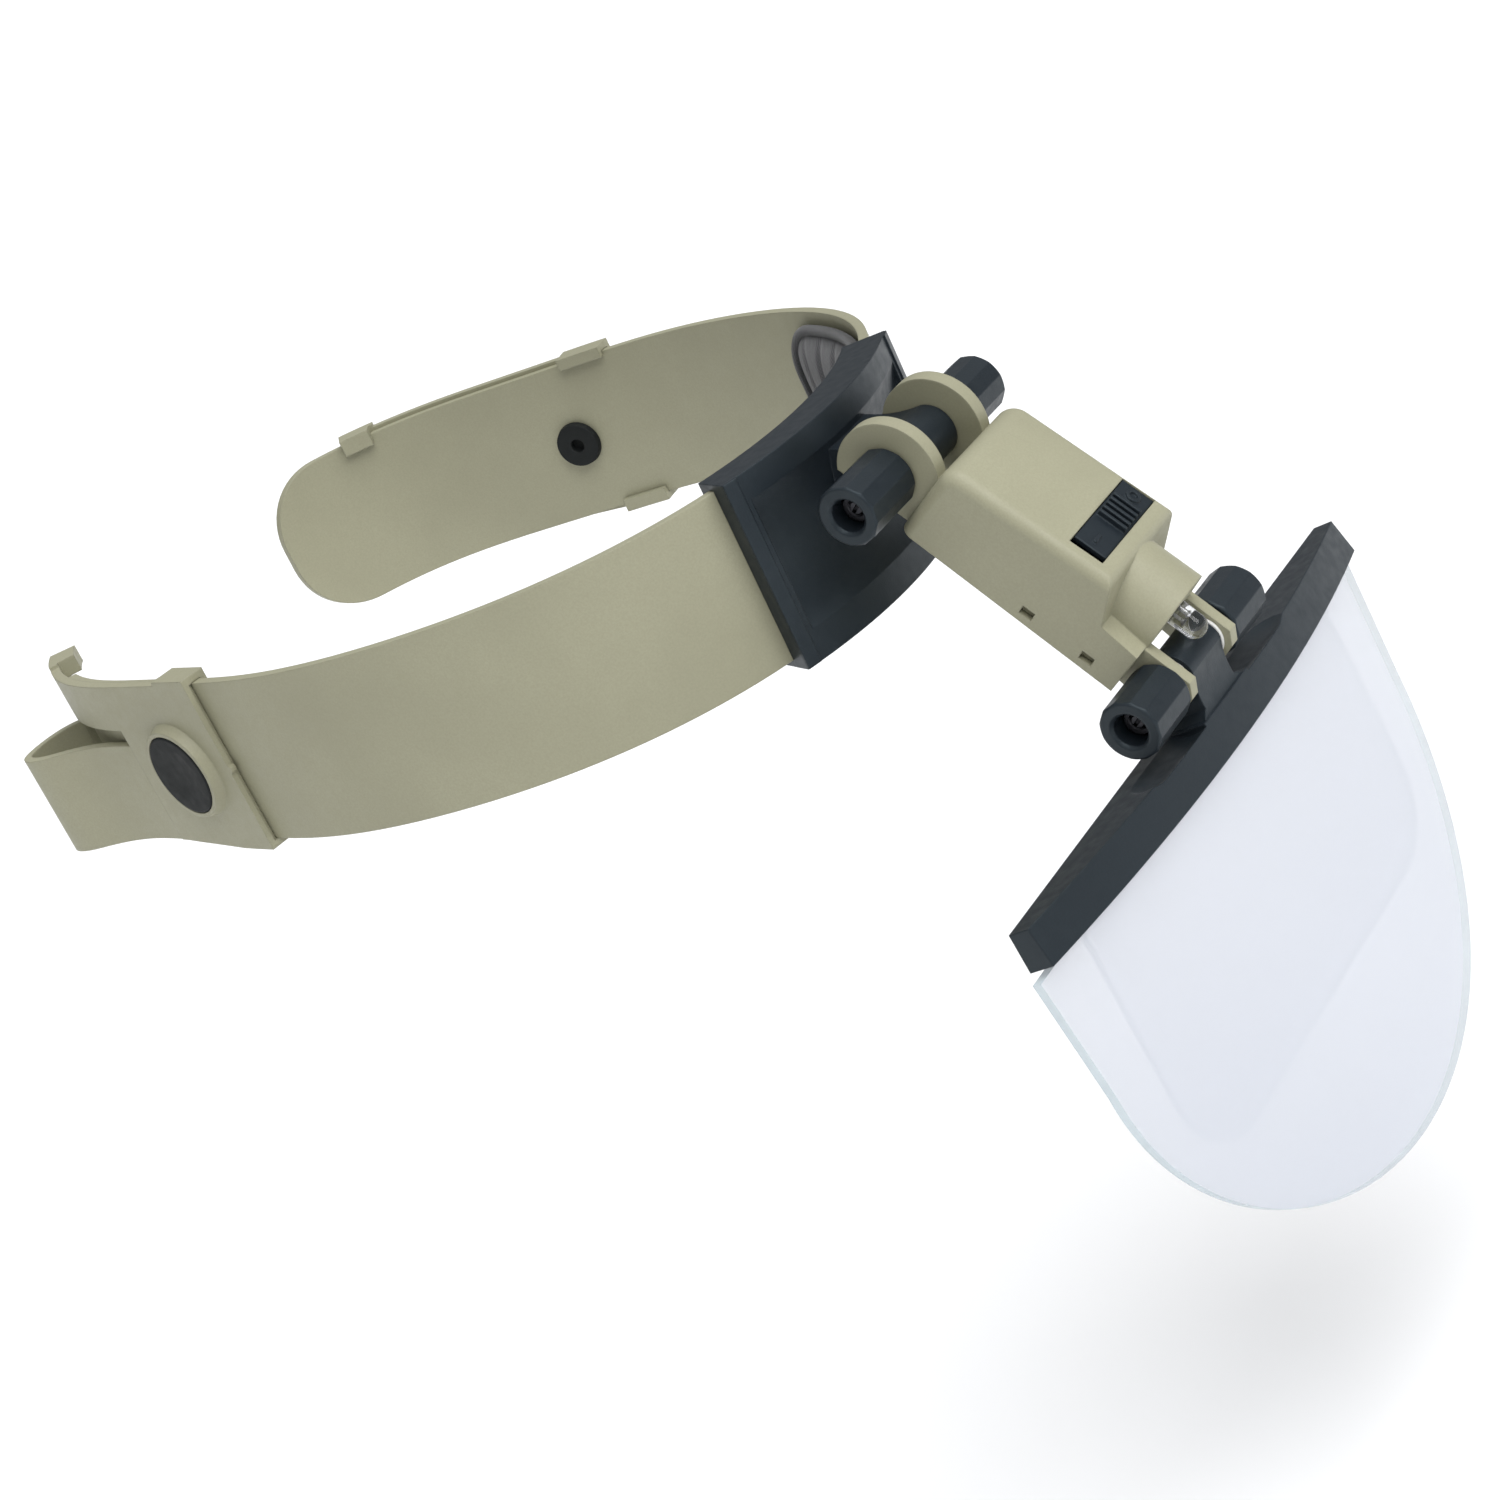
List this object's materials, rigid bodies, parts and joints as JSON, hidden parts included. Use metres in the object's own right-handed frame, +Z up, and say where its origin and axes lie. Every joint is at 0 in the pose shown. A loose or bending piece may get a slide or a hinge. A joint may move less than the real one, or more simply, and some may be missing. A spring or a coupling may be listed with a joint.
{
  "type": "head visor magnifier",
  "caption": "Band worn round the head with a tilting battery lamp, and a tilting curved clear visor with an inner lens below it, each set by thumb knobs.",
  "frame": {"origin": "middle of the head opening, at half the height of the band", "axes": "+Z up along the wearer's head, -Y the way the wearer faces, +X the wearer's left"},
  "size_m": [0.1512, 0.251, 0.1698],
  "materials": {
    "beige_plastic": "fine matte grain",
    "charcoal_plastic": "satin moulded",
    "button_plastic": "satin moulded",
    "pad_fabric": "quilted knit over foam",
    "clear_acrylic": "clear polished",
    "lens_acrylic": "clear polished",
    "led_resin": "water clear",
    "circuit_board": "solder mask",
    "battery_sleeve": "plain sleeve",
    "steel": "black oxide",
    "white_nylon": "satin"
  },
  "bodies": {
    "headband": {"headband_strip": "beige_plastic", "front_carrier": "charcoal_plastic", "forehead_pad": "pad_fabric", "left_clip": "beige_plastic", "right_clip": "beige_plastic", "left_clip_button": "button_plastic", "right_clip_button": "button_plastic", "tilt_bolt": "steel"},
    "lamp": {"lamp_housing": "beige_plastic", "led_bulb": "led_resin", "led_board": "circuit_board", "left_battery": "battery_sleeve", "right_battery": "battery_sleeve", "visor_bolt": "steel", "left_visor_washer": "white_nylon", "right_visor_washer": "white_nylon"},
    "cover": {"battery_cover": "beige_plastic"},
    "switch": {"switch_slider": "charcoal_plastic"},
    "visor": {"visor_frame": "charcoal_plastic", "visor_shield": "clear_acrylic", "lens_plate": "lens_acrylic"},
    "tilt_knob_l": {"left_tilt_knob": "charcoal_plastic"},
    "tilt_knob_r": {"right_tilt_knob": "charcoal_plastic"},
    "visor_knob_l": {"left_visor_knob": "charcoal_plastic"},
    "visor_knob_r": {"right_visor_knob": "charcoal_plastic"}
  },
  "joints": [
    {"name": "lamp_tilt", "type": "hinge", "parent": "headband", "child": "lamp", "pos_m": [0, -0.1193, 0.0065], "axis": [-1, 0, 0], "range_deg": [-20, 80]},
    {"name": "visor_tilt", "type": "hinge", "parent": "lamp", "child": "visor", "pos_m": [0, -0.15589, -0.04537], "axis": [-1, 0, 0], "range_deg": [-40, 55]},
    {"name": "cover_slide", "type": "slide", "parent": "lamp", "child": "cover", "axis": [0, 0.788, -0.6157], "range_m": [0, 0.008]},
    {"name": "switch_slide", "type": "slide", "parent": "lamp", "child": "switch", "axis": [-1, 0, 0], "range_m": [0, 0.002]},
    {"name": "tilt_knob_l_turn", "type": "hinge", "parent": "headband", "child": "tilt_knob_l", "pos_m": [0, -0.1193, 0.0065], "axis": [1, 0, 0], "continuous": true},
    {"name": "tilt_knob_r_turn", "type": "hinge", "parent": "headband", "child": "tilt_knob_r", "pos_m": [0, -0.1193, 0.0065], "axis": [1, 0, 0], "continuous": true},
    {"name": "visor_knob_l_turn", "type": "hinge", "parent": "lamp", "child": "visor_knob_l", "pos_m": [0, -0.15589, -0.04537], "axis": [1, 0, 0], "continuous": true},
    {"name": "visor_knob_r_turn", "type": "hinge", "parent": "lamp", "child": "visor_knob_r", "pos_m": [0, -0.15589, -0.04537], "axis": [1, 0, 0], "continuous": true}
  ]
}
